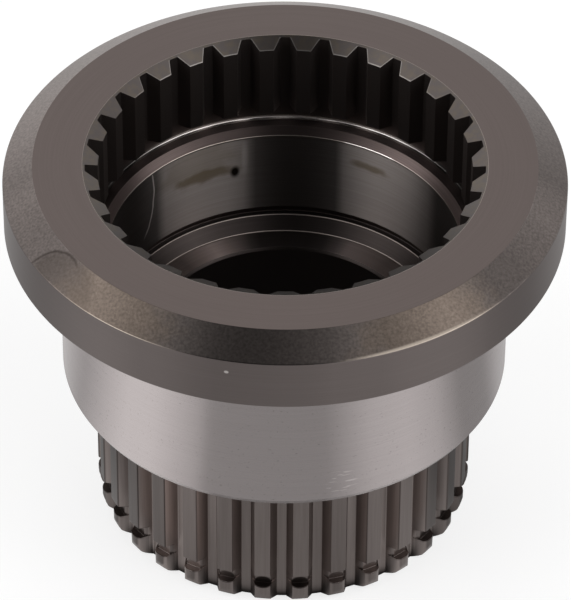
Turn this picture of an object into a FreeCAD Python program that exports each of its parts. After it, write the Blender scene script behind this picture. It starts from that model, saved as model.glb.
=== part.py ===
import FreeCAD, Part
import math
import os
import Sketcher

# A splined coupling hub, turned from one steel blank and stood on its splined end.
# Millimetres, +Z up along the hub's axis, origin at the centre of the lower end face.
# Every cut is made into the one body, so the hub stays a single solid.

doc = FreeCAD.newDocument("coupling_hub")
sheet = doc.addObject("Spreadsheet::Sheet", "sizes")

# Heights are from the lower end face, depths are from the upper face.
driving_sizes = [
    ("overall_height", 90.0, "lower end face to upper face"),
    ("flange_diameter", 118.0, "outside of the flange"),
    ("flange_thickness", 15.7, "upper face to flange underside"),
    ("flange_edge_break", 0.5, "bevel on the flange's lower edge"),
    ("face_chamfer_width", 6.3, "radial width of the chamfer round the upper face"),
    ("face_chamfer_depth", 4.0, "how far that chamfer drops to the rim"),
    ("neck_diameter", 95.0, "ground seat for a seal or bearing"),
    ("neck_end_height", 36.0, "shoulder at the lower end of the ground neck"),
    ("neck_leadin_height", 1.6, "axial length of the neck's lead-in"),
    ("neck_leadin_depth", 0.9, "radial drop of the neck's lead-in"),
    ("tooth_count", 31, "teeth on the outer spline and in the inner one"),
    ("outer_tip_diameter", 81.0, "over the outer teeth"),
    ("outer_tooth_depth", 3.15, "crests to the floor of the outer gaps"),
    ("outer_gap_floor", 2.1, "width of an outer gap at its floor"),
    ("outer_flank_angle", 24.5, "flank to the middle of its gap, degrees"),
    ("outer_tip_bevel", 0.15, "radial height of the bevel along each crest"),
    ("outer_bevel_angle", 48.0, "that bevel to the middle of its gap, degrees"),
    ("outer_taper_height", 3.4, "axial length of the lead-in on the teeth's lower ends"),
    ("outer_taper_depth", 0.6, "radial drop of that lead-in"),
    ("outer_end_height", 1.3, "axial length of the steeper bevel that ends it"),
    ("outer_end_depth", 1.4, "radial drop of that bevel"),
    ("ring_groove_height", 5.2, "lower wall of the retaining ring groove"),
    ("ring_groove_width", 3.2, "between the walls of that groove"),
    ("ring_groove_depth", 1.65, "crests to the floor of that groove"),
    ("inner_tip_clearance", 1.6, "inner crests stand back from the smooth bore"),
    ("inner_tooth_depth", 2.7, "inner crests to the floor of the inner gaps"),
    ("inner_gap_floor", 2.1, "width of an inner gap at its floor"),
    ("inner_flank_angle", 26.5, "flank to the middle of its gap, degrees"),
    ("inner_tooth_length", 19.0, "upper face to the lower ends of the teeth"),
    ("inner_end_bevel", 1.45, "how far the upper tooth ends slope down to the crests"),
    ("inner_end_clearance", 0.5, "that slope starts this far outside the inner gaps"),
    ("relief_clearance", 0.2, "cutter relief goes this far past the inner gaps"),
    ("relief_width", 3.5, "axial width of that relief"),
    ("bore_diameter", 75.0, "smooth bore"),
    ("bore_leadin", 1.6, "chamfer at the mouth of the smooth bore"),
    ("bore_depth", 44.2, "upper face to the lower end of the smooth bore"),
    ("undercut_width", 1.8, "grinding undercut at the foot of the bore"),
    ("undercut_depth", 0.8, "radial depth of that undercut"),
    ("lip_drop", 0.4, "radial step in from the bore to the seat's lip"),
    ("seat_width", 3.1, "radial width of the sloping seat"),
    ("seat_drop", 2.3, "how far the seat slopes down"),
    ("through_diameter", 56.5, "hole through the splined end"),
    ("through_edge_break", 0.5, "bevel at both mouths of that hole"),
]
for row, (alias, value, note) in enumerate(driving_sizes, start=1):
    sheet.set("A%d" % row, alias)
    sheet.set("B%d" % row, str(value))
    sheet.set("C%d" % row, note)
    sheet.setAlias("B%d" % row, alias)
doc.recompute()

body = doc.addObject("PartDesign::Body", "coupling_hub")
body.Label = "coupling_hub"
body.Placement = FreeCAD.Placement()


def origin_feature(role):
    """The body's own plane or axis of that role."""
    return next(item for item in body.Origin.OriginFeatures if item.Role == role)


def new_sketch(name, plane):
    sketch = body.newObject("Sketcher::SketchObject", name)
    sketch.AttachmentSupport = (origin_feature(plane), [""])
    sketch.MapMode = "FlatFace"
    return sketch


def tie(sketch, constraint, expression):
    """Add a dimension and bind it to the sheet."""
    index = sketch.addConstraint(constraint)
    sketch.setExpression("Constraints[%d]" % index, expression)


def closed_loop(sketch, corner_count):
    """A loose loop of straight edges, joined end to end, that dimensions then pull into place."""
    ring = [
        FreeCAD.Vector(50 + 20 * math.cos(turn), 50 + 20 * math.sin(turn), 0)
        for turn in (2 * math.pi * corner / corner_count for corner in range(corner_count))
    ]
    for corner in range(corner_count):
        sketch.addGeometry(Part.LineSegment(ring[corner], ring[(corner + 1) % corner_count]), False)
    for corner in range(corner_count):
        following = (corner + 1) % corner_count
        sketch.addConstraint(Sketcher.Constraint("Coincident", corner, 2, following, 1))


def turned_outline(sketch, corners):
    """Half a lathe section: each corner is a radius and a height, and None is the end face."""
    closed_loop(sketch, len(corners))
    for edge, (radius, height) in enumerate(corners):
        tie(sketch, Sketcher.Constraint("DistanceX", -1, 1, edge, 1, 50.0), radius)
        if height is None:
            sketch.addConstraint(Sketcher.Constraint("PointOnObject", edge, 1, -1))
        else:
            tie(sketch, Sketcher.Constraint("DistanceY", -1, 1, edge, 1, 50.0), height)


def turn(kind, name, sketch):
    feature = body.newObject(kind, name)
    feature.Profile = sketch
    feature.ReferenceAxis = (sketch, ["V_Axis"])
    feature.Angle = 360.0
    return feature


def below_face(depth):
    return "sizes.overall_height - (%s)" % depth


# The lathe work: up the outside, across the upper face and down the stepped bore.
tip_circle = "sizes.outer_tip_diameter / 2"
root_circle = tip_circle + " - sizes.outer_tooth_depth"
taper_foot = tip_circle + " - sizes.outer_taper_depth"
neck = "sizes.neck_diameter / 2"
flange = "sizes.flange_diameter / 2"
bore = "sizes.bore_diameter / 2"
inner_tips = bore + " + sizes.inner_tip_clearance"
inner_roots = inner_tips + " + sizes.inner_tooth_depth"
relief = inner_roots + " + sizes.relief_clearance"
undercut = bore + " + sizes.undercut_depth"
lip = bore + " - sizes.lip_drop"
through = "sizes.through_diameter / 2"
neck_end = "sizes.neck_end_height"
underside = below_face("sizes.flange_thickness")
teeth_end = below_face("sizes.inner_tooth_length")
relief_end_depth = "sizes.inner_tooth_length + sizes.relief_width"
undercut_end_depth = "sizes.bore_depth + sizes.undercut_width"
seat_foot_depth = undercut_end_depth + " + sizes.seat_drop"
face = "sizes.overall_height"

outline = new_sketch("turned_outline", "XZ_Plane")
turned_outline(outline, [
    (through + " + sizes.through_edge_break", None),
    (taper_foot + " - sizes.outer_end_depth", None),
    (taper_foot, "sizes.outer_end_height"),
    (tip_circle, "sizes.outer_taper_height"),
    (tip_circle, neck_end),
    (neck + " - sizes.neck_leadin_depth", neck_end),
    (neck, neck_end + " + sizes.neck_leadin_height"),
    (neck, underside),
    (flange + " - sizes.flange_edge_break", underside),
    (flange, underside + " + sizes.flange_edge_break"),
    (flange, below_face("sizes.face_chamfer_depth")),
    (flange + " - sizes.face_chamfer_width", face),
    (inner_roots + " + sizes.inner_end_clearance", face),
    (inner_tips, below_face("sizes.inner_end_bevel")),
    (inner_tips, teeth_end),
    (relief, teeth_end),
    (relief, below_face(relief_end_depth)),
    (bore + " + sizes.bore_leadin", below_face(relief_end_depth)),
    (bore, below_face(relief_end_depth + " + sizes.bore_leadin")),
    (bore, below_face("sizes.bore_depth")),
    (undercut, below_face("sizes.bore_depth")),
    (undercut, below_face(undercut_end_depth)),
    (lip, below_face(undercut_end_depth)),
    (lip + " - sizes.seat_width", below_face(seat_foot_depth)),
    (through + " + sizes.through_edge_break", below_face(seat_foot_depth)),
    (through, below_face(seat_foot_depth + " + sizes.through_edge_break")),
    (through, "sizes.through_edge_break"),
])
turn("PartDesign::Revolution", "turned_blank", outline)
doc.recompute()
turned_volume = body.Shape.Volume

# The retaining ring groove crosses the outer teeth and stops short of their roots.
cutter_overrun = 1.0
ring_outline = new_sketch("ring_groove_outline", "XZ_Plane")
groove_foot = "sizes.ring_groove_height"
groove_head = "sizes.ring_groove_height + sizes.ring_groove_width"
outside = tip_circle + " + %g" % cutter_overrun
groove_floor = tip_circle + " - sizes.ring_groove_depth"
turned_outline(ring_outline, [
    (groove_floor, groove_foot),
    (outside, groove_foot),
    (outside, groove_head),
    (groove_floor, groove_head),
])
turn("PartDesign::Groove", "ring_groove", ring_outline)
doc.recompute()
grooved_volume = body.Shape.Volume


def mirrored_corners(sketch, left, right):
    sketch.addConstraint(Sketcher.Constraint("Symmetric", left[0], left[1], right[0], right[1], -2))


def gap_outline(name, side, root, mouth, floor_width, flank_angle, bevel=None):
    """One tooth gap in plan, square across the Y axis on the side given by side (+1 or -1).

    The floor lies at root and the open mouth at mouth. bevel is the radius at which
    the flanks open out to break the crests' corners, and the angle that they open to.
    """
    half = [(1.0, 40.0), (2.0, 44.0)]
    if bevel:
        half = [(1.0, 38.0), (2.0, 41.0), (3.0, 43.0)]
    if side > 0:
        half = [(across, 84.0 - along) for across, along in half]
    points = [FreeCAD.Vector(across, side * along, 0) for across, along in half]
    points += [FreeCAD.Vector(-point.x, point.y, 0) for point in reversed(points)]
    sketch = new_sketch(name, "XY_Plane")
    count = len(points)
    for edge in range(count):
        sketch.addGeometry(Part.LineSegment(points[edge], points[(edge + 1) % count]), False)
    for edge in range(count):
        sketch.addConstraint(Sketcher.Constraint("Coincident", edge, 2, (edge + 1) % count, 1))
    for corner in range(len(half)):
        mirrored_corners(sketch, (corner, 1), (count - 1 - corner, 1))
    heights = [(0, root), (len(half) - 1, mouth)]
    if bevel:
        heights.append((1, bevel[0]))
    for corner, radius in heights:
        if side > 0:
            tie(sketch, Sketcher.Constraint("DistanceY", -1, 1, corner, 1, 40.0), radius)
        else:
            tie(sketch, Sketcher.Constraint("DistanceY", corner, 1, -1, 1, 40.0), radius)
    tie(sketch, Sketcher.Constraint("DistanceX", count - 1, 1, 0, 1, 2.0), floor_width)
    reach = Sketcher.Constraint("DistanceX", -1, 1, 1, 1, 2.0)
    first = bevel[0] if bevel else mouth
    run = "abs(%s - (%s)) * tan(%s * 1 deg)" % (first, root, flank_angle)
    tie(sketch, reach, "%s / 2 + %s" % (floor_width, run))
    if bevel:
        opening = "abs(%s - (%s)) * tan(%s * 1 deg)" % (mouth, bevel[0], bevel[1])
        reach = Sketcher.Constraint("DistanceX", -1, 1, 2, 1, 3.0)
        tie(sketch, reach, "%s / 2 + %s + %s" % (floor_width, run, opening))
    return sketch


def cut_gaps(name, sketch, length):
    """Cut one gap upward from its sketch, then repeat it round the axis."""
    gap = body.newObject("PartDesign::Pocket", name + "_gap")
    gap.Profile = sketch
    gap.Reversed = True
    gap.setExpression("Length", length)
    doc.recompute()
    ring = body.newObject("PartDesign::PolarPattern", name + "_gaps")
    ring.Originals = [gap]
    ring.Axis = (origin_feature("Z_Axis"), [""])
    ring.Angle = 360.0
    ring.setExpression("Occurrences", "sizes.tooth_count")
    body.Tip = ring
    doc.recompute()


# The outer spline: gaps hobbed from the lower end up to the neck's shoulder.
outer_gap = gap_outline(
    "outer_gap_outline",
    -1,
    root_circle,
    outside,
    "sizes.outer_gap_floor",
    "sizes.outer_flank_angle",
    (tip_circle + " - sizes.outer_tip_bevel", "sizes.outer_bevel_angle"),
)
cut_gaps("outer_spline", outer_gap, neck_end)
splined_volume = body.Shape.Volume

# The inner spline: gaps shaped from the upper face down into the relief.
inner_gap = gap_outline(
    "inner_gap_outline",
    1,
    inner_roots,
    inner_tips + " - %g" % cutter_overrun,
    "sizes.inner_gap_floor",
    "sizes.inner_flank_angle",
)
cut_depth = "sizes.inner_tooth_length + sizes.relief_width / 2"
inner_gap.setExpression("AttachmentOffset.Base.z", below_face(cut_depth))
cut_gaps("inner_spline", inner_gap, cut_depth + " + %g" % cutter_overrun)

if not turned_volume > grooved_volume > splined_volume > body.Shape.Volume:
    raise RuntimeError("a cut took nothing away")
for item in doc.Objects:
    if "Invalid" in item.State or "Error" in item.State:
        raise RuntimeError("%s did not compute: %s" % (item.Name, item.State))
if body.Shape.isNull() or not body.Shape.isValid() or len(body.Shape.Solids) != 1:
    raise RuntimeError("the hub is not one valid solid")

box = body.Shape.BoundBox
print("box %.2f x %.2f x %.2f mm" % (box.XLength, box.YLength, box.ZLength))
print("volume %.1f cm3, faces %d" % (body.Shape.Volume / 1000, len(body.Shape.Faces)))
os.makedirs("parts", exist_ok=True)
body.Shape.exportStep("parts/%s.step" % body.Label)
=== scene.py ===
import math
import bmesh
import bpy
from mathutils import Matrix, Vector


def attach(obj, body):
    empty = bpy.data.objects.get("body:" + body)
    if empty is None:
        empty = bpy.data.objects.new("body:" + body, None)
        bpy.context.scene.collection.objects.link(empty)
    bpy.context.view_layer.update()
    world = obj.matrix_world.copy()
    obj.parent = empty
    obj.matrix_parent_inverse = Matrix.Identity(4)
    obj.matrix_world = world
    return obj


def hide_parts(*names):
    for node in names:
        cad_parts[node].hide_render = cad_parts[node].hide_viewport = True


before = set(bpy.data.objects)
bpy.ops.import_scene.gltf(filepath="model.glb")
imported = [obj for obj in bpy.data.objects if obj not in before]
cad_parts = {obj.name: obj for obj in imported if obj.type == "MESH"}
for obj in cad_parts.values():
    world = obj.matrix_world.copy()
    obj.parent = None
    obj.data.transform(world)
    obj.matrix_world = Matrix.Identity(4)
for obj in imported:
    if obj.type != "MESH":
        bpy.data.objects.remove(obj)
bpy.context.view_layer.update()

millimetre = 0.001
noiseSpan = (0.3, 0.7)  # most of a noise's values lie between these
tolerance = 1e-9  # what rounding errors add to a length
print("frame loaded")

# Sizes in millimetres and turns in degrees. A corner is its distance from the axis, its height and its rounding.
hub = {
    "teeth": 31,  # of both splines
    "smoothSides": 310,  # round every ring without teeth
    # half an outer gap and half a crest: across, out from the axis, rounding
    "outerGap": [(0, 37.35, 0), (1.05, 37.335, 0.35), (2.42, 40.35, 0.45), (2.5, 40.42, 0.3),
                 (2.95, 40.393, 0), (3.45, 40.353, 0), (4.1, 40.29, 0)],
    "outerTip": 40.5,
    "outerRoot": 37.35,
    "outerGapTurn": -90.35,
    # half an inner gap and half a crest
    "innerGap": [(0, 41.8, 0), (1.05, 41.787, 0.3), (2.44, 39.02, 0.1), (3.95, 38.9, 0)],
    "innerTip": 39.1,
    "innerRoot": 41.8,
    "innerGapTurn": 90.24,
    # outlines that the teeth cut
    "toothEnd": [(37.8, 0, 0), (38.5, 0, 0.3), (39.9, 1.3, 2.5), (40.5, 3.4, 3.0), (40.5, 4.2, 0)],
    "grooveFoot": [(40.5, 4.8, 0), (40.5, 5.2, 0.25), (38.85, 5.2, 0.08), (38.85, 5.7, 0)],
    "grooveHead": [(38.85, 8.0, 0), (38.85, 8.4, 0.25), (40.5, 8.4, 0.2), (40.5, 8.8, 0)],
    "socketMouth": [(42.8, 90, 0), (42.3, 90, 0.25), (39.1, 88.25, 0.12), (39.1, 87.8, 0)],
    "socketFoot": [(39.1, 71.3, 0), (39.1, 71, 0.2), (41.9, 71, 0)],
    "shoulder": 36.0,
    # below the ring groove: how far the crests' corners are rounded off, how much more
    # at the foot, half a crest's width and how high up that goes
    "stubCrown": 0.5,
    "footCrown": 0.35,
    "stubHalf": 1.56,
    "stubTop": 5.3,
    # smooth outlines, with the finish of the stretch that follows each corner
    "outside": [
        (42.2, 36, 0, "turned"), (46.6, 36, 0.25, "ground"), (47.5, 37.6, 0.5, "ground"), (47.5, 74.3, 0.3, "turned"),
        (58.5, 74.3, 0.2, "rim"), (59, 74.8, 0.3, "rim"), (59, 86, 0.45, "chamfer"), (52.7, 90, 0.3, "turned"),
        (43.2, 90, 0, "turned"),
    ],
    "inside": [
        (42, 71, 0, "socket"), (42, 68.1, 0, "burnished"), (41.78, 67.68, 0.3, "burnished"), (41.3, 67.5, 0, "ledge"),
        (39.1, 67.5, 0.2, "leadIn"), (37.6, 66.0, 0, "edge"), (37.5, 65.9, 0.1, "edge"), (37.5, 65.6, 0, "honed"),
        (37.5, 45.8, 0.12, "hole"), (38.3, 45.8, 0, "hole"), (38.3, 44, 0.2, "seat"), (37.25, 44, 0, "lip"),
        (37.1, 44, 0.1, "lip"), (36.95, 43.88, 0, "seat"), (34.15, 41.81, 0, "lip"), (34, 41.7, 0.1, "lip"),
        (33.8, 41.7, 0, "step"), (28.75, 41.7, 0.12, "seat"), (28.25, 41.2, 0.12, "hole"), (28.25, 0.5, 0.2, "hole"),
        (28.75, 0, 0.2, "turned"), (36.6, 0, 0, "turned"),
    ],
}


# Colours are sRGB hex values, and the shaders take linear light.
def linear(hexColour):
    parts = [int(hexColour[at:at + 2], 16) / 255 for at in (1, 3, 5)]
    return tuple(p / 12.92 if p <= 0.04045 else ((p + 0.055) / 1.055) ** 2.4 for p in parts) + (1.0,)


# A setting goes to the input of that name or number, or else to the node itself. A link comes from
# a socket, or from a node's first output.
def addNode(tree, kind, settings=None, links=None):
    node = tree.nodes.new(kind)
    for name, value in (settings or {}).items():
        if isinstance(name, int) or name in node.inputs:
            node.inputs[name].default_value = value
        else:
            setattr(node, name, value)
    for socket, source in (links or {}).items():
        tree.links.new(source.outputs[0] if isinstance(source, bpy.types.Node) else source, node.inputs[socket])
    return node


def newFinish(name):
    material = bpy.data.materials.new(name)
    material.use_nodes = True
    material.node_tree.nodes.clear()
    return material, material.node_tree


# Where a point lies on the lathe: its distance from the axis, its height, and its turn from the
# front, positive to the right.
def latheReading(tree):
    place = addNode(tree, "ShaderNodeTexCoord").outputs["Object"]
    axes = addNode(tree, "ShaderNodeSeparateXYZ", links={0: place}).outputs
    across = addNode(tree, "ShaderNodeCombineXYZ", links={0: axes[0], 1: axes[1]})
    radius = addNode(tree, "ShaderNodeVectorMath", {"operation": "LENGTH"}, {0: across}).outputs["Value"]
    towards = addNode(tree, "ShaderNodeMath", {"operation": "MULTIPLY", 1: -1.0}, {0: axes[1]})
    turn = addNode(tree, "ShaderNodeMath", {"operation": "ARCTAN2"}, {0: axes[0], 1: towards}).outputs[0]
    return {"place": place, "height": axes[2], "radius": radius, "turn": turn}


# Tool marks run round the part, so their noise is stretched along the turn and tight along the
# outline. Real feeds of 0.05 to 0.2 mm are too fine for the picture and are drawn at about 0.3 mm.
def toolMarks(tree, reading, spacing, detail):
    run = 28.0  # per metre, so that a mark goes on for about 36 mm
    along = addNode(tree, "ShaderNodeMath", {"operation": "ADD"}, {0: reading["radius"], 1: reading["height"]})
    tight = addNode(tree, "ShaderNodeMath", {"operation": "MULTIPLY", 1: 1.0 / (spacing * millimetre)}, {0: along})
    stretch = {"operation": "MULTIPLY", 1: (run, run, 0.0)}
    wide = addNode(tree, "ShaderNodeVectorMath", stretch, {0: reading["place"]})
    flat = addNode(tree, "ShaderNodeSeparateXYZ", links={0: wide}).outputs
    spot = addNode(tree, "ShaderNodeCombineXYZ", links={0: flat[0], 1: flat[1], 2: tight})
    noise = {"Scale": 1.0, "Detail": detail, "Roughness": 0.6}
    return addNode(tree, "ShaderNodeTexNoise", noise, {"Vector": spot}).outputs["Fac"]


# Even grain of one size in millimetres.
def grain(tree, reading, size, detail=3.0):
    noise = {"Scale": 1.0 / (size * millimetre), "Detail": detail}
    return addNode(tree, "ShaderNodeTexNoise", noise, {"Vector": reading["place"]}).outputs["Fac"]


# A soft oval on the turned surface: its middle and half sizes are degrees round and millimetres up.
# Soft and ragged are shares of its size. With a rim it is only the line round it, of that share.
def oval(tree, reading, mark):
    (turn, height), (halfTurn, halfHeight) = mark["middle"], mark["half"]
    raggedSize = 3.5
    span = {"clamp": False, "From Min": math.radians(turn), "From Max": math.radians(turn + halfTurn)}
    along = addNode(tree, "ShaderNodeMapRange", span, {"Value": reading["turn"]})
    span = {"clamp": False, "From Min": height * millimetre, "From Max": (height + halfHeight) * millimetre}
    up = addNode(tree, "ShaderNodeMapRange", span, {"Value": reading["height"]})
    spot = addNode(tree, "ShaderNodeCombineXYZ", links={0: along, 1: up})
    away = addNode(tree, "ShaderNodeVectorMath", {"operation": "LENGTH"}, {0: spot}).outputs["Value"]
    if "ragged" in mark:
        noise = grain(tree, reading, raggedSize, 2.0)
        wander = addNode(tree, "ShaderNodeMath", {"operation": "SUBTRACT", 1: 0.5}, {0: noise})
        settings = {"operation": "MULTIPLY_ADD", 1: mark["ragged"]}
        away = addNode(tree, "ShaderNodeMath", settings, {0: wander, 2: away})
    soft = mark.get("soft", 0.3)
    fade = {"interpolation_type": "SMOOTHSTEP", "To Min": 1.0, "To Max": 0.0}
    fade.update({"From Min": 1.0 - soft, "From Max": 1.0 + soft})
    if "rim" in mark:
        offset = addNode(tree, "ShaderNodeMath", {"operation": "SUBTRACT", 1: 1.0}, {0: away})
        away = addNode(tree, "ShaderNodeMath", {"operation": "ABSOLUTE"}, {0: offset})
        fade.update({"From Min": 0.0, "From Max": mark["rim"]})
    return addNode(tree, "ShaderNodeMapRange", fade, {"Value": away})


# Values read off by turn from the front, in degrees, with straight runs between the stops.
def byTurn(tree, turn, stops):
    share = addNode(tree, "ShaderNodeMapRange", {"From Min": -math.pi, "From Max": math.pi}, {"Value": turn})
    table = addNode(tree, "ShaderNodeValToRGB", links={0: share})
    marks = table.color_ramp.elements
    while len(marks) > 1:
        marks.remove(marks[0])
    marks[0].position = (stops[0][0] + 180) / 360
    for at, (angle, level) in enumerate(stops):
        mark = marks[0] if at == 0 else marks.new((angle + 180) / 360)
        mark.color = (level, level, level, 1.0)
    return table.outputs[0]


# Painted light and shade by turn: the colour times the level there, in place of how bright the room looks in the
# steel from each side.
def paintedLightByTurn(tree, reading, colour, levels):
    settings = {"data_type": "RGBA", "blend_type": "MULTIPLY", 0: 1.0}
    return addNode(tree, "ShaderNodeMix", settings, {6: colour, 7: byTurn(tree, reading["turn"], levels)}).outputs[2]


# Mixes two colours, each a hex text or a socket, as the factor goes from low to high.
def tint(tree, factor, first, second, low=0.0, high=1.0):
    spread = addNode(tree, "ShaderNodeMapRange", {"From Min": low, "From Max": high}, {"Value": factor})
    settings = {"data_type": "RGBA"}
    links = {0: spread}
    for socket, colour in ((6, first), (7, second)):
        if isinstance(colour, str):
            settings[socket] = linear(colour)
        else:
            links[socket] = colour
    return addNode(tree, "ShaderNodeMix", settings, links).outputs[2]


# The colour of cut metal, between its dark and light tool marks.
def toolColour(tree, reading, look):
    marks = toolMarks(tree, reading, look["lineSpacing"], look.get("lineDetail", 2.0))
    return tint(tree, marks, look["dark"], look["light"], *look.get("lineSpan", noiseSpan))


# Lays marks over a colour one by one. A thin mark lets more of what is under it show, and one with
# a second oval shows only inside that.
def marked(tree, reading, colour, marks):
    for mark in marks:
        shown = oval(tree, reading, mark)
        if "within" in mark:
            inside = oval(tree, reading, mark["within"])
            shown = addNode(tree, "ShaderNodeMath", {"operation": "MULTIPLY"}, {0: shown, 1: inside})
        colour = tint(tree, shown, colour, mark["colour"], 0.0, mark.get("thin", 1.0))
    return colour


# How far a point has come through its tooth's pitch, from 0 to 1.
def throughPitch(tree, reading, phase):
    settings = {"operation": "MULTIPLY_ADD", 1: hub["teeth"] / (2 * math.pi), 2: phase}
    pitches = addNode(tree, "ShaderNodeMath", settings, {0: reading["turn"]})
    return addNode(tree, "ShaderNodeMath", {"operation": "FRACT"}, {0: pitches})


# Brushing is for marks that run round the axis, which spread every reflection up and down.
def steelSurface(tree, colour, look):
    values = {"Metallic": 1.0, "Roughness": look["roughness"]}
    links = {}
    if isinstance(colour, str):
        values["Base Color"] = linear(colour)
    else:
        links["Base Color"] = colour
    if "brushing" in look:
        values.update({"Anisotropic": look["brushing"], "Anisotropic Rotation": 0.25})
        links["Tangent"] = addNode(tree, "ShaderNodeTangent", {"direction_type": "RADIAL", "axis": "Z"})
    surface = addNode(tree, "ShaderNodeBsdfPrincipled", values, links)
    addNode(tree, "ShaderNodeOutputMaterial", links={"Surface": surface})


# Plunge-ground neck: bright, with reflections cut sharply by upright edges. Its real marks are
# 0.05 mm apart, so at 0.3 mm they are kept faint. One rub at the right has fine slanting strokes.
def groundSteel():
    look = {
        "light": "#CEC5C4", "dark": "#C8BFBE", "lineSpacing": 0.3, "lineDetail": 3.0, "lineSpan": (0.25, 0.75),
        "roughness": 0.24, "brushing": 0.6,
        "speck": "#B5ACAA", "speckSize": 0.45, "speckSpan": (0.69, 0.76),
        "rub": {"middle": (15.0, 41.5), "half": (4.0, 3.2), "soft": 0.4},
        "stroke": "#E9E0DE", "strokeTilt": 0.6, "strokesPerMillimetre": (0.3, 2.6), "strokeSpan": (0.6, 0.68),
    }
    material, tree = newFinish("groundSteel")
    reading = latheReading(tree)
    specks = grain(tree, reading, look["speckSize"], 1.0)
    colour = tint(tree, specks, toolColour(tree, reading, look), look["speck"], *look["speckSpan"])
    along, up = (count / millimetre for count in look["strokesPerMillimetre"])
    tilted = {"Rotation": (0.0, look["strokeTilt"], 0.0), "Scale": (along, along, up)}
    across = addNode(tree, "ShaderNodeMapping", tilted, {"Vector": reading["place"]})
    strokes = addNode(tree, "ShaderNodeTexNoise", {"Scale": 1.0, "Detail": 1.0}, {"Vector": across}).outputs["Fac"]
    span = {"From Min": look["strokeSpan"][0], "From Max": look["strokeSpan"][1]}
    scratch = addNode(tree, "ShaderNodeMapRange", span, {"Value": strokes})
    rubbed = oval(tree, reading, look["rub"])
    scratched = addNode(tree, "ShaderNodeMath", {"operation": "MULTIPLY"}, {0: rubbed, 1: scratch})
    colour = tint(tree, scratched, colour, look["stroke"])
    steelSurface(tree, colour, look)
    return material


# Hard-turned faces under a film of oil: an even brown grey that blurs what it mirrors.
def turnedSteel():
    look = {"dark": "#685E5B", "light": "#6C625F", "lineSpacing": 0.25, "roughness": 0.42}
    material, tree = newFinish("hardTurnedSteel")
    steelSurface(tree, toolColour(tree, latheReading(tree), look), look)
    return material


# The flange's rim, turned finer than the face, with one small nick low on the front, and painted light and shade by
# turn.
def rimSteel():
    look = {
        "dark": "#9B908D", "light": "#9F9491", "lineSpacing": 0.3, "roughness": 0.4,
        # painted reflection by turn, lightest in front
        "levels": [(-180, 0.57), (-60, 0.52), (-44, 0.54), (-30, 0.52), (-20, 0.66), (-10, 0.78), (0, 0.86),
                   (10, 0.9), (20, 0.67), (30, 0.65), (42, 0.68), (52, 0.7), (90, 0.57), (180, 0.57)],
        "marks": [{"colour": "#F4ECE8", "middle": (-11.3, 83.1), "half": (0.45, 0.35)}],
    }
    material, tree = newFinish("fineTurnedSteel")
    reading = latheReading(tree)
    colour = paintedLightByTurn(tree, reading, toolColour(tree, reading, look), look["levels"])
    steelSurface(tree, marked(tree, reading, colour, look["marks"]), look)
    return material


# Blasted and oiled chamfer: speckled, beige where the oil is thin, and near black in front, a painted
# dark reflection. The grit's dimples are about 0.2 mm across and are drawn at 0.55 mm.
def chamferSteel():
    look = {
        "bare": "#958B87", "dimpleSize": 0.55, "dimpleDark": 0.78, "dimpleLight": 1.24, "roughness": 0.34,
        "dryPatches": [
            {"colour": "#9F9085", "middle": (-38.0, 87.5), "half": (13.0, 6.0), "soft": 0.4, "ragged": 0.8},
            {"colour": "#9F9085", "middle": (31.0, 87.5), "half": (15.0, 6.0), "soft": 0.4, "ragged": 0.8},
        ],
        # painted reflection by turn: near black in front, lighter at the sides
        "levels": [(-180, 1.0), (-98, 0.8), (-85, 0.76), (-78, 1.0), (-64, 1.0), (-52, 1.0), (-42, 0.56), (-34, 0.38),
                   (-21, 0.22), (-15, 0.14), (-9, 0.14), (0, 0.2), (9, 0.22), (16, 0.3), (22, 0.28), (29, 0.42),
                   (36, 0.6), (42, 0.54), (49, 0.43), (56, 0.66), (64, 1.05), (73, 1.22), (82, 0.88), (86, 0.66),
                   (98, 0.6), (130, 0.6), (180, 1.0)],
        # a pool of oil and the dark outline it dried to, then the lower edge lighter on both sides, worn bare and in
        # part a painted edge highlight
        "marks": [
            {"colour": "#665C55", "thin": 1.9, "middle": (-52.0, 86.0), "half": (9.0, 4.2),
             "soft": 0.15, "ragged": 0.25},
            {"colour": "#4A413D", "thin": 1.5, "middle": (-54.5, 85.6), "half": (7.0, 4.2),
             "rim": 0.07, "ragged": 0.12, "within": {"middle": (-58.0, 88.6), "half": (6.0, 3.4)}},
            {"colour": "#B3A89C", "thin": 1.5, "middle": (29.0, 85.95), "half": (16.0, 0.4), "soft": 0.35},
            {"colour": "#B3A89C", "thin": 1.2, "middle": (-36.0, 85.9), "half": (15.0, 0.16), "soft": 0.35},
        ],
    }
    material, tree = newFinish("blastedChamferSteel")
    reading = latheReading(tree)
    colour = marked(tree, reading, look["bare"], look["dryPatches"])
    colour = paintedLightByTurn(tree, reading, colour, look["levels"])
    span = {"From Min": noiseSpan[0], "From Max": noiseSpan[1]}
    span.update({"To Min": look["dimpleDark"], "To Max": look["dimpleLight"]})
    speckle = addNode(tree, "ShaderNodeMapRange", span, {"Value": grain(tree, reading, look["dimpleSize"])})
    colour = addNode(tree, "ShaderNodeVectorMath", {"operation": "SCALE"}, {0: colour, "Scale": speckle}).outputs[0]
    steelSurface(tree, marked(tree, reading, colour, look["marks"]), look)
    return material


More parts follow.
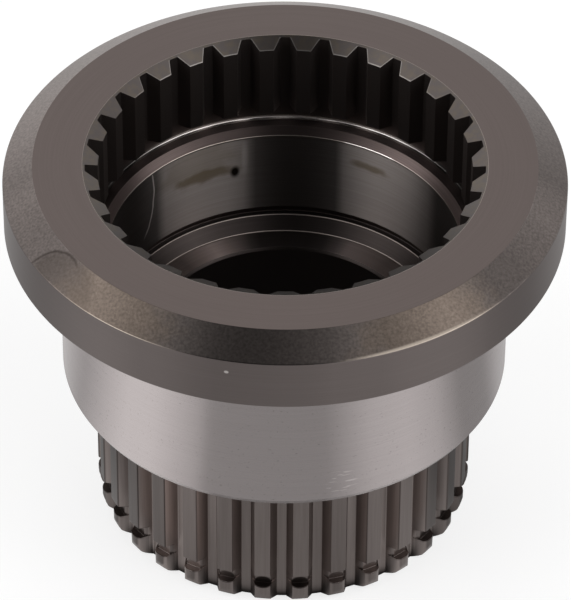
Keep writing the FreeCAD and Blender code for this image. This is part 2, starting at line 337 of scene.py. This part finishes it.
# Hobbed and hardened spline, oiled: smooth along the teeth, with faint upright streaks, which are
# drawn 0.5 mm wide in place of about 0.2 mm.
def splineSteel():
    look = {
        "dark": "#9C918D", "light": "#A69B97", "streakWidth": 0.5, "streakSqueeze": 0.03, "roughness": 0.36,
        # painted light and shade by turn on the crests
        "crestLevels": [(-180, 0.28), (-52, 0.27), (-40, 0.36), (-25, 0.75), (-6, 0.95), (8, 0.9), (20, 0.6),
                        (43, 0.55), (52, 0.3), (180, 0.28)],
        # painted light and shade by turn on the flanks, which are about as light as the crests
        "flankLevels": [(-180, 0.45), (-60, 0.6), (-42, 0.9), (-28, 0.92), (-18, 0.85), (8, 0.9), (20, 0.75),
                        (43, 0.75), (60, 0.55), (180, 0.45)],
        "flankEdge": 40.3, "flankWhole": 40.1,
        # painted light makes them lightest next to the crests
        "riseLevels": [(-180, 0.2), (-62, 0.2), (-48, 0.5), (-40, 1.0), (-22, 1.0), (-12, 0.1), (10, 0.1),
                       (20, 0.7), (45, 0.8), (60, 0.3), (180, 0.2)],
        "riseFrom": 38.3, "riseFull": 40.2, "riseGain": 0.75,
        # below the ring groove only the gaps' floors take the flanks' painted light wholly, and the rest by half
        "stubsEnd": 8.4, "floorTop": 38.2, "stubShare": 0.5,
        # painted shadow lies as a dark lens in the ring groove of each tooth, and not on the stub below it
        "grooveShadowColour": "#2E2522", "lensHalf": 2.0, "lensRise": 1.75, "lensFoot": 4.93, "lensPhase": 0.03,
        "lensWhole": 0.85, "lensEdge": 1.05,
        "grooveFloor": 38.85, "grooveFoot": 5.2, "groovePitch": 7.87,
        "grooveShadowLevels": [(-180, 0.65), (-62, 0.65), (-50, 0.6), (-38, 0.25), (-22, 0.42), (-12, 0.85), (6, 0.85),
                      (14, 0.5), (30, 0.42), (60, 0.65), (180, 0.65)],
    }
    material, tree = newFinish("oiledHobbedSteel")
    reading = latheReading(tree)
    radius, height = reading["radius"], reading["height"]

    squeeze = {"operation": "MULTIPLY", 1: (1.0, 1.0, look["streakSqueeze"])}
    tall = addNode(tree, "ShaderNodeVectorMath", squeeze, {0: reading["place"]})
    noise = {"Scale": 1.0 / (look["streakWidth"] * millimetre), "Detail": 2.0}
    streaks = addNode(tree, "ShaderNodeTexNoise", noise, {"Vector": tall}).outputs["Fac"]
    colour = tint(tree, streaks, look["dark"], look["light"], *noiseSpan)

    span = {"From Min": look["flankEdge"] * millimetre, "From Max": look["flankWhole"] * millimetre}
    belowCrest = addNode(tree, "ShaderNodeMapRange", span, {"Value": radius})
    aboveEnd = {"operation": "GREATER_THAN", 1: look["stubsEnd"] * millimetre}
    aboveStubs = addNode(tree, "ShaderNodeMath", aboveEnd, {0: height})
    floor = addNode(tree, "ShaderNodeMath", {"operation": "LESS_THAN", 1: look["floorTop"] * millimetre}, {0: radius})
    wholly = addNode(tree, "ShaderNodeMath", {"operation": "MAXIMUM"}, {0: aboveStubs, 1: floor})
    share = addNode(tree, "ShaderNodeMath", {"operation": "MAXIMUM", 1: look["stubShare"]}, {0: wholly})
    # painted light: by this share the flanks take the flank levels and the crests the crest levels
    flankLightShare = addNode(tree, "ShaderNodeMath", {"operation": "MULTIPLY"}, {0: belowCrest, 1: share})

    span = {"From Min": look["riseFrom"] * millimetre, "From Max": look["riseFull"] * millimetre}
    rise = addNode(tree, "ShaderNodeMapRange", span, {"Value": radius})
    riseByTurn = byTurn(tree, reading["turn"], look["riseLevels"])
    nearCrest = addNode(tree, "ShaderNodeMath", {"operation": "MULTIPLY"}, {0: rise, 1: riseByTurn})
    gain = {"operation": "MULTIPLY_ADD", 1: look["riseGain"], 2: 1.0}
    lighter = addNode(tree, "ShaderNodeMath", gain, {0: nearCrest})
    flanks = paintedLightByTurn(tree, reading, colour, look["flankLevels"])
    flanks = addNode(tree, "ShaderNodeVectorMath", {"operation": "SCALE"}, {0: flanks, "Scale": lighter})
    crests = paintedLightByTurn(tree, reading, colour, look["crestLevels"])
    colour = addNode(tree, "ShaderNodeMix", {"data_type": "RGBA"}, {0: flankLightShare, 6: crests, 7: flanks}).outputs[2]

    # painted shadow in the ring groove, a dark lens under each crest
    halfPitch = 0.5
    span = {"clamp": False, "From Min": halfPitch, "From Max": halfPitch + look["lensHalf"] / look["groovePitch"]}
    aside = addNode(tree, "ShaderNodeMapRange", span, {"Value": throughPitch(tree, reading, look["lensPhase"])})
    start = look["grooveFloor"] + look["grooveFoot"]
    span = {"clamp": False, "From Min": start * millimetre, "From Max": (start + look["lensRise"]) * millimetre}
    upAndOut = addNode(tree, "ShaderNodeMath", {"operation": "ADD"}, {0: radius, 1: height})
    up = addNode(tree, "ShaderNodeMapRange", span, {"Value": upAndOut})
    spot = addNode(tree, "ShaderNodeCombineXYZ", links={0: aside, 1: up})
    away = addNode(tree, "ShaderNodeVectorMath", {"operation": "LENGTH"}, {0: spot}).outputs["Value"]
    fade = {"interpolation_type": "SMOOTHSTEP", "To Min": 1.0, "To Max": 0.0}
    fade.update({"From Min": look["lensWhole"], "From Max": look["lensEdge"]})
    lens = addNode(tree, "ShaderNodeMapRange", fade, {"Value": away})
    grooveShadowByTurn = byTurn(tree, reading["turn"], look["grooveShadowLevels"])
    shadowedLens = addNode(tree, "ShaderNodeMath", {"operation": "MULTIPLY"}, {0: lens, 1: grooveShadowByTurn})
    aboveFoot = {"operation": "GREATER_THAN", 1: look["lensFoot"] * millimetre}
    inGroove = addNode(tree, "ShaderNodeMath", aboveFoot, {0: height})
    grooveShadow = addNode(tree, "ShaderNodeMath", {"operation": "MULTIPLY"}, {0: shadowedLens, 1: inGroove})
    steelSurface(tree, tint(tree, grooveShadow, colour, look["grooveShadowColour"]), look)
    return material


# Shaped inner spline, hardened and oiled: a dark plain grey, as little light reaches it.
def socketSteel():
    material, tree = newFinish("oiledShapedSteel")
    steelSurface(tree, "#655D5A", {"roughness": 0.45})
    return material


# The turned, sloping ends of the inner teeth, in patches rubbed bare and beige: painted shade makes them dull at the
# back and painted light makes them light at the sides.
def toothEndSteel():
    look = {
        "rubbed": "#A3978C", "dull": "#9A918E", "patchSize": 1.6, "patchSpan": (0.35, 0.6), "roughness": 0.38,
        # painted light and shade by turn: dark at the back, light at the sides
        "levels": [(-180, 0.12), (-172, 0.15), (-163, 0.3), (-150, 0.5), (-125, 0.65), (-80, 0.42), (-45, 0.24),
                   (0, 0.15), (45, 0.2), (80, 0.42), (125, 0.65), (150, 0.5), (163, 0.26), (172, 0.12), (180, 0.12)],
        # at the back a painted highlight, a bright hairline, follows the flanks and the crest, where the slope meets
        # them
        "line": "#F4ECE6", "lineFrom": -0.26, "lineFull": -0.08, "lineOut": 41.8,
        "edgeHighlightLevels": [(-180, 1), (-145, 0.8), (-120, 0), (120, 0), (145, 0.8), (180, 1)],
        # half a tooth is as wide as its distance out times the spread, less the offset
        "toothPhase": 0.479, "flankSpread": 0.6, "flankOffset": 21.89,
    }
    material, tree = newFinish("rubbedToothEndSteel")
    reading = latheReading(tree)
    radius = reading["radius"]
    patches = grain(tree, reading, look["patchSize"], 2.0)
    colour = tint(tree, patches, look["rubbed"], look["dull"], *look["patchSpan"])

    within = throughPitch(tree, reading, look["toothPhase"])
    aside = addNode(tree, "ShaderNodeMath", {"operation": "SUBTRACT", 1: 0.5}, {0: within})
    share = addNode(tree, "ShaderNodeMath", {"operation": "ABSOLUTE"}, {0: aside})
    arc = addNode(tree, "ShaderNodeMath", {"operation": "MULTIPLY"}, {0: share, 1: radius})
    across = addNode(tree, "ShaderNodeMath", {"operation": "MULTIPLY", 1: 2 * math.pi / hub["teeth"]}, {0: arc})
    narrower = {"operation": "MULTIPLY_ADD", 1: -look["flankSpread"], 2: look["flankOffset"] * millimetre}
    flank = addNode(tree, "ShaderNodeMath", narrower, {0: radius})
    pastFlank = addNode(tree, "ShaderNodeMath", {"operation": "ADD"}, {0: across, 1: flank})
    fromCrest = {"operation": "SUBTRACT", 0: hub["innerTip"] * millimetre}
    pastCrest = addNode(tree, "ShaderNodeMath", fromCrest, {1: radius})
    edge = addNode(tree, "ShaderNodeMath", {"operation": "MAXIMUM"}, {0: pastFlank, 1: pastCrest})
    span = {"From Min": look["lineFrom"] * millimetre, "From Max": look["lineFull"] * millimetre}
    line = addNode(tree, "ShaderNodeMapRange", span, {"Value": edge})
    lineByTurn = byTurn(tree, reading["turn"], look["edgeHighlightLevels"])
    shown = addNode(tree, "ShaderNodeMath", {"operation": "MULTIPLY"}, {0: line, 1: lineByTurn})
    inward = addNode(tree, "ShaderNodeMath", {"operation": "LESS_THAN", 1: look["lineOut"] * millimetre}, {0: radius})
    paintedEdgeHighlight = addNode(tree, "ShaderNodeMath", {"operation": "MULTIPLY"}, {0: shown, 1: inward})
    colour = tint(tree, paintedEdgeHighlight, colour, look["line"])
    steelSurface(tree, paintedLightByTurn(tree, reading, colour, look["levels"]), look)
    return material


# Honed bore: brushed round the axis, with dried oil that has run down from its mouth, and painted reflections by
# turn.
def honedSteel():
    look = {
        "light": "#B3AAA6", "dark": "#A69D99", "lineSpacing": 0.35, "lineDetail": 3.0,
        "roughness": 0.4, "brushing": 1.0,
        # three films of oil, a dark drop and a light run
        "marks": [
            {"colour": "#6B5C44", "thin": 3.0, "middle": (-149.0, 62.0), "half": (14.5, 5.0),
             "soft": 0.4, "ragged": 1.1},
            {"colour": "#6B5C44", "thin": 1.5, "middle": (-152.5, 57.9), "half": (10.5, 1.5),
             "soft": 0.4, "ragged": 1.1},
            {"colour": "#6B5C44", "thin": 1.5, "middle": (150.5, 60.9), "half": (6.5, 1.1),
             "soft": 0.4, "ragged": 1.1},
            {"colour": "#1C1613", "middle": (-163.0, 57.0), "half": (1.5, 1.4), "soft": 0.5},
            {"colour": "#D8CFCB", "thin": 2.0, "middle": (-166.5, 60.5), "half": (1.0, 4.0), "soft": 0.7},
        ],
        # painted reflection by turn: dark in the middle at the back, light to the left and right
        "levels": [(-180, 0.4), (-170, 0.4), (-166, 0.85), (-160, 1.0), (-136, 0.9), (-132, 0.3), (-90, 0.3),
                   (90, 0.3), (120, 0.35), (125, 0.85), (160, 1.0), (163, 0.4), (180, 0.4)],
        # the light wavy line where the film ends at the left
        "ripple": [
            {"colour": "#D8CFCB", "middle": (-118.0, 61.0), "half": (13.0, 14.5),
             "rim": 0.035, "ragged": 0.06, "within": {"middle": (-129.0, 58.0), "half": (8.0, 8.5), "soft": 0.2}},
        ],
    }
    material, tree = newFinish("honedBoreSteel")
    reading = latheReading(tree)
    colour = marked(tree, reading, toolColour(tree, reading, look), look["marks"])
    colour = paintedLightByTurn(tree, reading, colour, look["levels"])
    steelSurface(tree, marked(tree, reading, colour, look["ripple"]), look)
    return material


# Steel turned deep in the bore and left under dark oil: dull, with reflections drawn out up and down, and painted
# light and shade by turn where levels are given.
def oiledBoreSteel(name, look):
    material, tree = newFinish(name)
    reading = latheReading(tree)
    colour = toolColour(tree, reading, look)
    if "levels" in look:
        colour = paintedLightByTurn(tree, reading, colour, look["levels"])
    steelSurface(tree, colour, look)
    return material


# Turned seat at the foot of the bore, with painted shade that makes it darkest where it faces the front.
def seatSteel():
    return oiledBoreSteel("oiledSeatSteel", {
        "light": "#877C79", "dark": "#7C716E", "lineSpacing": 0.3, "roughness": 0.4, "brushing": 0.8,
        # painted shade by turn, darkest where the seat faces the front
        "levels": [(-180, 0.11), (-165, 0.14), (-156, 0.2), (-146, 0.32), (-120, 0.25), (120, 0.25), (146, 0.24),
                   (156, 0.16), (163, 0.1), (180, 0.11)],
    })


# The flat turned step round the through hole catches the light on its left and right.
def stepSteel():
    return oiledBoreSteel("oiledStepSteel", {
        "light": "#8B807D", "dark": "#827774", "lineSpacing": 0.3, "roughness": 0.4, "brushing": 0.8,
        "levels": [(-180, 0.14), (-170, 0.17), (-166, 0.32), (-158, 0.95), (-151, 1.8), (-145, 1.2), (-136, 0.5),
                   (0, 0.5), (136, 0.45), (146, 0.8), (154, 1.2), (159, 0.6), (164, 0.24), (170, 0.15), (180, 0.14)],
    })


# Turned ledge under the inner teeth, duller still.
def ledgeSteel():
    return oiledBoreSteel("oiledLedgeSteel", {
        "light": "#554B49", "dark": "#4B4240", "lineSpacing": 0.3, "roughness": 0.4, "brushing": 0.8,
    })


# The turned chamfer into the bore, with painted light that makes it lighter at the sides.
def leadInSteel():
    return oiledBoreSteel("oiledLeadInSteel", {
        "light": "#554B49", "dark": "#4B4240", "lineSpacing": 0.3, "roughness": 0.4, "brushing": 0.8,
        # painted light by turn, lightest at the sides
        "levels": [(-180, 0.62), (-160, 0.7), (-148, 1.0), (-138, 1.5), (-124, 2.3), (124, 2.3), (138, 1.5),
                   (148, 1.0), (160, 0.7), (180, 0.62)],
    })


# Corners rubbed bright, which catch the light as thin lines, with a painted highlight on the right at the back.
def edgeSteel():
    look = {
        "rubbed": "#A0968F", "bright": "#F6EEE9", "roughness": 0.3,
        # painted highlight on the right at the back
        "paintedHighlightSpot": {"middle": (151.0, 66.0), "half": (9.0, 4.0), "soft": 0.15},
    }
    material, tree = newFinish("rubbedEdgeSteel")
    bright = oval(tree, latheReading(tree), look["paintedHighlightSpot"])
    steelSurface(tree, tint(tree, bright, look["rubbed"], look["bright"]), look)
    return material


# The two lips at the foot of the bore, less rubbed, so a little duller.
def lipSteel():
    material, tree = newFinish("rubbedLipSteel")
    steelSurface(tree, "#7E7570", {"roughness": 0.3})
    return material


# The corner under the inner teeth is burnished, and a painted reflection of the lit room makes it one bright line,
# bright at the back and dark at the sides.
def burnishedHighlightSteel():
    look = {
        "dark": "#F4ECE7", "light": "#FBF5F1", "patchSize": 6.0, "patchSpan": (0.4, 0.6), "roughness": 0.3,
        # painted reflection by turn: bright at the back, dark at the sides and front
        "levels": [(-180, 1.0), (-150, 0.85), (-138, 0.4), (-128, 0.12), (128, 0.12), (138, 0.4), (150, 0.85),
                   (180, 1.0)],
    }
    material, tree = newFinish("burnishedCornerHighlightSteel")
    reading = latheReading(tree)
    patches = grain(tree, reading, look["patchSize"], 1.0)
    bare = tint(tree, patches, look["dark"], look["light"], *look["patchSpan"])
    steelSurface(tree, paintedLightByTurn(tree, reading, bare, look["levels"]), look)
    return material


# Rough-bored hole and undercut, seen only in the shade: an even dull grey.
def holeSteel():
    material, tree = newFinish("roughBoredSteel")
    steelSurface(tree, "#5E5552", {"roughness": 0.5})
    return material


finishMakers = {
    "ground": groundSteel, "turned": turnedSteel, "rim": rimSteel, "chamfer": chamferSteel, "spline": splineSteel,
    "socket": socketSteel, "toothEnd": toothEndSteel, "honed": honedSteel, "seat": seatSteel, "step": stepSteel,
    "ledge": ledgeSteel, "leadIn": leadInSteel, "edge": edgeSteel, "lip": lipSteel, "burnished": burnishedHighlightSteel,
    "hole": holeSteel,
}
finishNames = list(finishMakers)
print("finishes ready")


# Rounds the corners of an outline. A rounding too large for its corner takes up what the sides allow.
def rounded(corners, steps=4):
    sideShare = 0.48
    points = []
    for at, (across, up, radius) in enumerate(corners):
        if not radius or at in (0, len(corners) - 1):
            points.append((across, up))
            continue
        here = Vector((across, up))
        back = Vector(corners[at - 1][:2]) - here
        ahead = Vector(corners[at + 1][:2]) - here
        half = back.angle(ahead) / 2
        reach = min(radius / math.tan(half), back.length * sideShare, ahead.length * sideShare)
        arcRadius = reach * math.tan(half)
        centre = here + (back.normalized() + ahead.normalized()).normalized() * arcRadius / math.sin(half)
        first = here + back.normalized() * reach - centre
        last = here + ahead.normalized() * reach - centre
        start = math.atan2(first.y, first.x)
        sweep = (math.atan2(last.y, last.x) - start + math.pi) % (2 * math.pi) - math.pi
        for step in range(steps + 1):
            angle = start + sweep * step / steps
            points.append((centre.x + arcRadius * math.cos(angle), centre.y + arcRadius * math.sin(angle)))
    return points


points = []
faces = []
faceFinish = []


# A ring of points from turns, distances from the axis and heights, in order from the front round.
def addRing(spots):
    ring = []
    for angle, radius, height in sorted(((angle + 90) % 360, radius, height) for angle, radius, height in spots):
        turn = math.radians(angle - 90)
        ring.append((angle, len(points)))
        spot = radius * math.cos(turn), radius * math.sin(turn), height
        points.append(tuple(length * millimetre for length in spot))
    return ring


def addFace(corners, finish):
    faces.append(corners)
    faceFinish.append(finishNames.index(finish))


def joinRings(first, second, finish):
    count = len(first)
    for at in range(count):
        following = (at + 1) % count
        addFace((first[at][1], first[following][1], second[following][1], second[at][1]), finish)


# Rings with different numbers of points meet on a flat face.
def bridgeRings(first, second, finish):
    one = two = 0
    while one + two < len(first) + len(second):
        nextOne = first[(one + 1) % len(first)][0] + 360 * ((one + 1) // len(first))
        nextTwo = second[(two + 1) % len(second)][0] + 360 * ((two + 1) // len(second))
        here = first[one % len(first)][1], second[two % len(second)][1]
        if two == len(second) or (one < len(first) and nextOne <= nextTwo):
            one += 1
            addFace((here[0], first[one % len(first)][1], here[1]), finish)
        else:
            two += 1
            addFace((here[0], second[two % len(second)][1], here[1]), finish)


def smoothRing(radius, height):
    return addRing([(360.0 * side / hub["smoothSides"], radius, height) for side in range(hub["smoothSides"])])


# Turns an outline round the axis. Half of each rounding has the finish before it, half the one after.
def turnOutline(outline):
    rings = []
    for at, (radius, height, rounding, after) in enumerate(outline):
        spots = [(radius, height)]
        if rounding and 0 < at < len(outline) - 1:
            spots = rounded([stop[:3] for stop in outline[at - 1:at + 2]])[1:-1]
        for step, spot in enumerate(spots):
            rings.append((smoothRing(*spot), after if step >= len(spots) // 2 else outline[at - 1][3]))
    for (ring, finish), (following, ignored) in zip(rings, rings[1:]):
        joinRings(ring, following, finish)
    return rings[0][0], rings[-1][0]


# One pitch of tooth form as turns from the gap's middle and distances from the axis.
def pitchForm(halfGap, nearest, furthest):
    half = [(math.degrees(math.atan2(across, out)), min(max(math.hypot(across, out), nearest), furthest))
            for across, out in rounded(halfGap)]
    limit = 180.0 / hub["teeth"]
    nearLimit = 0.2  # a point this close to the crest's middle gives way to it
    half = [(turn, radius) for turn, radius in half if turn < limit - nearLimit] + [(limit, half[-1][1])]
    return [(-turn, radius) for turn, radius in reversed(half[1:])] + half[:-1]


# A toothed outline as it runs in a tooth of this depth: the stops beyond the tooth gather where it is cut.
def clippedPath(path, depth, keeps):
    kept = [keeps(radius, depth) for radius, height in path]
    if not any(kept):
        nearest = min((path[0], path[-1]), key=lambda stop: abs(stop[0] - depth))
        return [(depth, nearest[1])] * len(path)
    stops = []
    for at, stop in enumerate(path):
        if kept[at]:
            stops.append(stop)
            continue
        inside = max((other for other in range(at) if kept[other]), default=None)
        inside = min(other for other in range(at, len(path)) if kept[other]) if inside is None else inside
        first, second = path[inside], path[inside + (1 if inside < at else -1)]
        share = (depth - first[0]) / (second[0] - first[0])
        stops.append((depth, first[1] + (second[1] - first[1]) * share))
    return stops


# Brushing has rounded the corners of each crest below the ring groove.
def crowned(turn, stop):
    across = math.radians(180.0 / hub["teeth"] - abs(turn)) * hub["outerTip"]
    if stop[1] > hub["stubTop"] or across > 2 * hub["stubHalf"]:
        return stop
    crown = hub["stubCrown"] * (1 + hub["footCrown"] * (1 - stop[1] / hub["stubTop"]))
    return min(stop[0], max(hub["outerTip"] - crown * (across / hub["stubHalf"]) ** 2, hub["outerRoot"])), stop[1]


# The rings of a spline, each through one stop of the outlines, and the columns that they pass.
def toothRings(form, firstTurn, outlines, keeps, finishStop=lambda turn, stop: stop):
    columns = []
    for tooth in range(hub["teeth"]):
        for turn, depth in form:
            stops = [finishStop(turn, stop) for path in outlines for stop in clippedPath(path, depth, keeps)]
            columns.append((firstTurn + tooth * 360.0 / hub["teeth"] + turn, depth, stops))
    rings = [addRing([(turn, *stops[row]) for turn, depth, stops in columns]) for row in range(len(columns[0][2]))]
    return rings, columns


outerForm = pitchForm(hub["outerGap"], hub["outerRoot"], hub["outerTip"])
innerForm = pitchForm(hub["innerGap"], hub["innerTip"], hub["innerRoot"])
outerPaths = [rounded(hub[name]) for name in ("toothEnd", "grooveFoot", "grooveHead")]
innerPaths = [rounded(hub[name]) for name in ("socketMouth", "socketFoot")]

outerRings, outerColumns = toothRings(
    outerForm, hub["outerGapTurn"], outerPaths, lambda radius, depth: radius <= depth + tolerance, crowned)
outerRings.append(addRing([(turn, depth, hub["shoulder"]) for turn, depth, stops in outerColumns]))
for ring, following in zip(outerRings, outerRings[1:]):
    joinRings(ring, following, "spline")
outsideFirst, outsideLast = turnOutline(hub["outside"])
bridgeRings(outerRings[-1], outsideFirst, "turned")
print("outside shaped")

innerRings = toothRings(
    innerForm, hub["innerGapTurn"], innerPaths, lambda radius, depth: radius >= depth - tolerance)[0]
# rows of faces from the upper face inwards: the face, its edge, the sloping tooth ends, and the teeth
faceRows, edgeRows = 2, 2
mouthRows = len(innerPaths[0]) - 2  # the last row of that outline is the teeth's own
mouthFinishes = ["turned"] * faceRows + ["edge"] * edgeRows + ["toothEnd"] * (mouthRows - faceRows - edgeRows)
toothFinishes = ["socket"] * (len(innerRings) - 1 - len(mouthFinishes))
for ring, following, finish in zip(innerRings, innerRings[1:], mouthFinishes + toothFinishes):
    joinRings(ring, following, finish)
bridgeRings(outsideLast, innerRings[0], "turned")
insideFirst, insideLast = turnOutline(hub["inside"])
bridgeRings(innerRings[-1], insideFirst, "socket")
bridgeRings(insideLast, outerRings[0], "turned")

weldDistance = 0.002 * millimetre
sharpFrom = 28  # degrees
mesh = bpy.data.meshes.new("couplingHub")
mesh.from_pydata(points, [], faces)
for name in finishNames:
    mesh.materials.append(finishMakers[name]())
mesh.polygons.foreach_set("material_index", faceFinish)
shape = bmesh.new()
shape.from_mesh(mesh)
bmesh.ops.remove_doubles(shape, verts=shape.verts, dist=weldDistance)
bmesh.ops.dissolve_degenerate(shape, edges=shape.edges, dist=weldDistance)
bmesh.ops.recalc_face_normals(shape, faces=shape.faces)
openEdges = [edge for edge in shape.edges if len(edge.link_faces) != 2]
shape.to_mesh(mesh)
triangles = sum(len(face.verts) - 2 for face in shape.faces)
volume = shape.calc_volume()
shape.free()
mesh.shade_smooth()
mesh.set_sharp_from_angle(angle=math.radians(sharpFrom))
couplingHub = bpy.data.objects.new("couplingHub", mesh)
bpy.context.scene.collection.objects.link(couplingHub)
weighting = couplingHub.modifiers.new("edgeShading", "WEIGHTED_NORMAL")
weighting.keep_sharp = True
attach(couplingHub, "root")
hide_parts("coupling_hub")
print("hub shaped: %d triangles, %d open edges, %.2f cm3" % (triangles, len(openEdges), volume * 1e6))

studio = {
    # How bright the room and the floor look in the steel, by turn from the front: a dark gap in
    # front, a softbox on each side of it and a pale backdrop behind.
    "room": [(-180, 1.05), (-150, 1.0), (-130, 0.5), (-112, 0.15), (-102, 0.3), (-92, 1.0), (-62, 1.3), (-43, 1.2),
             (-38, 0.05), (22, 0.05), (27, 1.3), (50, 1.6), (75, 1.2), (88, 0.7), (98, 0.2), (125, 0.2), (145, 0.7),
             (180, 1.05)],
    "floor": [(-180, 0.8), (-116, 0.63), (-97, 0.45), (-89, 0.55), (-68, 0.88), (-55, 0.86), (-48, 0.76),
              (-34, 0.54), (-30, 0.36), (17, 0.34), (22, 0.42), (36, 0.62), (52, 0.69), (66, 0.58), (80, 0.32),
              (97, 0.33), (110, 0.53), (180, 0.8)],
    # the steel sees hardly any light from the floor within this distance of the axis, in millimetres
    "underHub": 39.0, "underHubBlend": 1.0, "underHubLight": 0.04,
    "paint": "#9A9A9A", "paintGlow": 0.75,
    "floorHalf": 3.0,  # metres
    "floorDrop": 0.1,  # millimetres below the hub's end face, so that the two never flicker
    "softboxes": {
        "leftSoftbox": {"place": (-1.3, -0.4, 1.0), "size": 1.0, "power": 5.0},
        "rightSoftbox": {"place": (1.3, -0.3, 1.0), "size": 1.0, "power": 4.0},
    },
    "aim": (0, 0, 0.05),
}
white = (1, 1, 1, 1)

world = bpy.data.worlds.new("studioRoom")
bpy.context.scene.world = world
world.use_nodes = True
tree = world.node_tree
tree.nodes.clear()
heading = addNode(tree, "ShaderNodeTexCoord").outputs["Generated"]
heading = addNode(tree, "ShaderNodeSeparateXYZ", links={0: heading}).outputs
front = addNode(tree, "ShaderNodeMath", {"operation": "MULTIPLY", 1: -1.0}, {0: heading[1]})
turn = addNode(tree, "ShaderNodeMath", {"operation": "ARCTAN2"}, {0: heading[0], 1: front})
room = byTurn(tree, turn, studio["room"])
rays = addNode(tree, "ShaderNodeLightPath").outputs
shown = addNode(tree, "ShaderNodeMix", {"data_type": "RGBA", 7: white}, {0: rays["Is Camera Ray"], 6: room})
glow = addNode(tree, "ShaderNodeBackground", {"Strength": 1.0}, {"Color": shown.outputs[2]})
addNode(tree, "ShaderNodeOutputWorld", links={"Surface": glow})

# Matt pale paint on a flat floor: even, with a soft shadow. The camera sees it lifted to near white,
# and the steel sees the levels above in it.
floorMesh = bpy.data.meshes.new("studioFloor")
half, drop = studio["floorHalf"], -studio["floorDrop"] * millimetre
corners = [(-half, -half, drop), (half, -half, drop), (half, half, drop), (-half, half, drop)]
floorMesh.from_pydata(corners, [], [(0, 1, 2, 3)])
floorPaint, tree = newFinish("palePaintedFloor")
reading = latheReading(tree)
rays = addNode(tree, "ShaderNodeLightPath").outputs
nearest, furthest = (studio["underHub"] + side * studio["underHubBlend"] for side in (-1, 1))
span = {"From Min": nearest * millimetre, "From Max": furthest * millimetre, "To Min": studio["underHubLight"]}
beyond = addNode(tree, "ShaderNodeMapRange", span, {"Value": reading["radius"]})
floorLight = byTurn(tree, reading["turn"], studio["floor"])
mirrored = addNode(tree, "ShaderNodeEmission", links={"Color": floorLight, "Strength": beyond})
direct = {0: rays["Is Camera Ray"], 1: rays["Is Transmission Ray"]}
direct = addNode(tree, "ShaderNodeMath", {"operation": "MAXIMUM"}, direct)
lifted = addNode(tree, "ShaderNodeMath", {"operation": "MULTIPLY", 1: studio["paintGlow"]}, {0: direct})
glow = addNode(tree, "ShaderNodeEmission", {"Color": white}, {"Strength": lifted})
paint = addNode(tree, "ShaderNodeBsdfDiffuse", {"Color": linear(studio["paint"])})
seen = addNode(tree, "ShaderNodeAddShader", links={0: glow, 1: paint})
both = addNode(tree, "ShaderNodeMixShader", links={0: rays["Is Glossy Ray"], 1: seen, 2: mirrored})
addNode(tree, "ShaderNodeOutputMaterial", links={"Surface": both})
floorMesh.materials.append(floorPaint)
studioFloor = bpy.data.objects.new("studioFloor", floorMesh)
bpy.context.scene.collection.objects.link(studioFloor)

for name, softbox in studio["softboxes"].items():
    lamp = bpy.data.lights.new(name, "AREA")
    lamp.shape = "SQUARE"
    lamp.size = softbox["size"]
    lamp.energy = softbox["power"]
    holder = bpy.data.objects.new(name, lamp)
    holder.location = softbox["place"]
    holder.rotation_mode = "QUATERNION"
    holder.rotation_quaternion = (Vector(softbox["place"]) - Vector(studio["aim"])).to_track_quat("Z", "Y")
    bpy.context.scene.collection.objects.link(holder)

# lens and sensor in millimetres, place and clips in metres, angles in degrees
camera = {"lens": 302.28, "sensor": 36.0, "nearest": 0.05, "furthest": 20.0,
          "place": (0, -0.80577, 0.76175), "elevation": 41.397, "roll": 0.397, "yaw": -0.017}
lens = bpy.data.cameras.new("studioCamera")
lens.lens = camera["lens"]
lens.sensor_width = camera["sensor"]
lens.clip_start, lens.clip_end = camera["nearest"], camera["furthest"]
viewer = bpy.data.objects.new("studioCamera", lens)
viewer.matrix_world = (
    Matrix.Translation(camera["place"])
    @ Matrix.Rotation(math.radians(camera["yaw"]), 4, "Z")
    @ Matrix.Rotation(math.radians(90 - camera["elevation"]), 4, "X")
    @ Matrix.Rotation(math.radians(camera["roll"]), 4, "Z")
)
bpy.context.scene.collection.objects.link(viewer)
bpy.context.scene.camera = viewer
bpy.context.scene.view_settings.view_transform = "Standard"
print("studio ready")

bpy.context.view_layer.update()
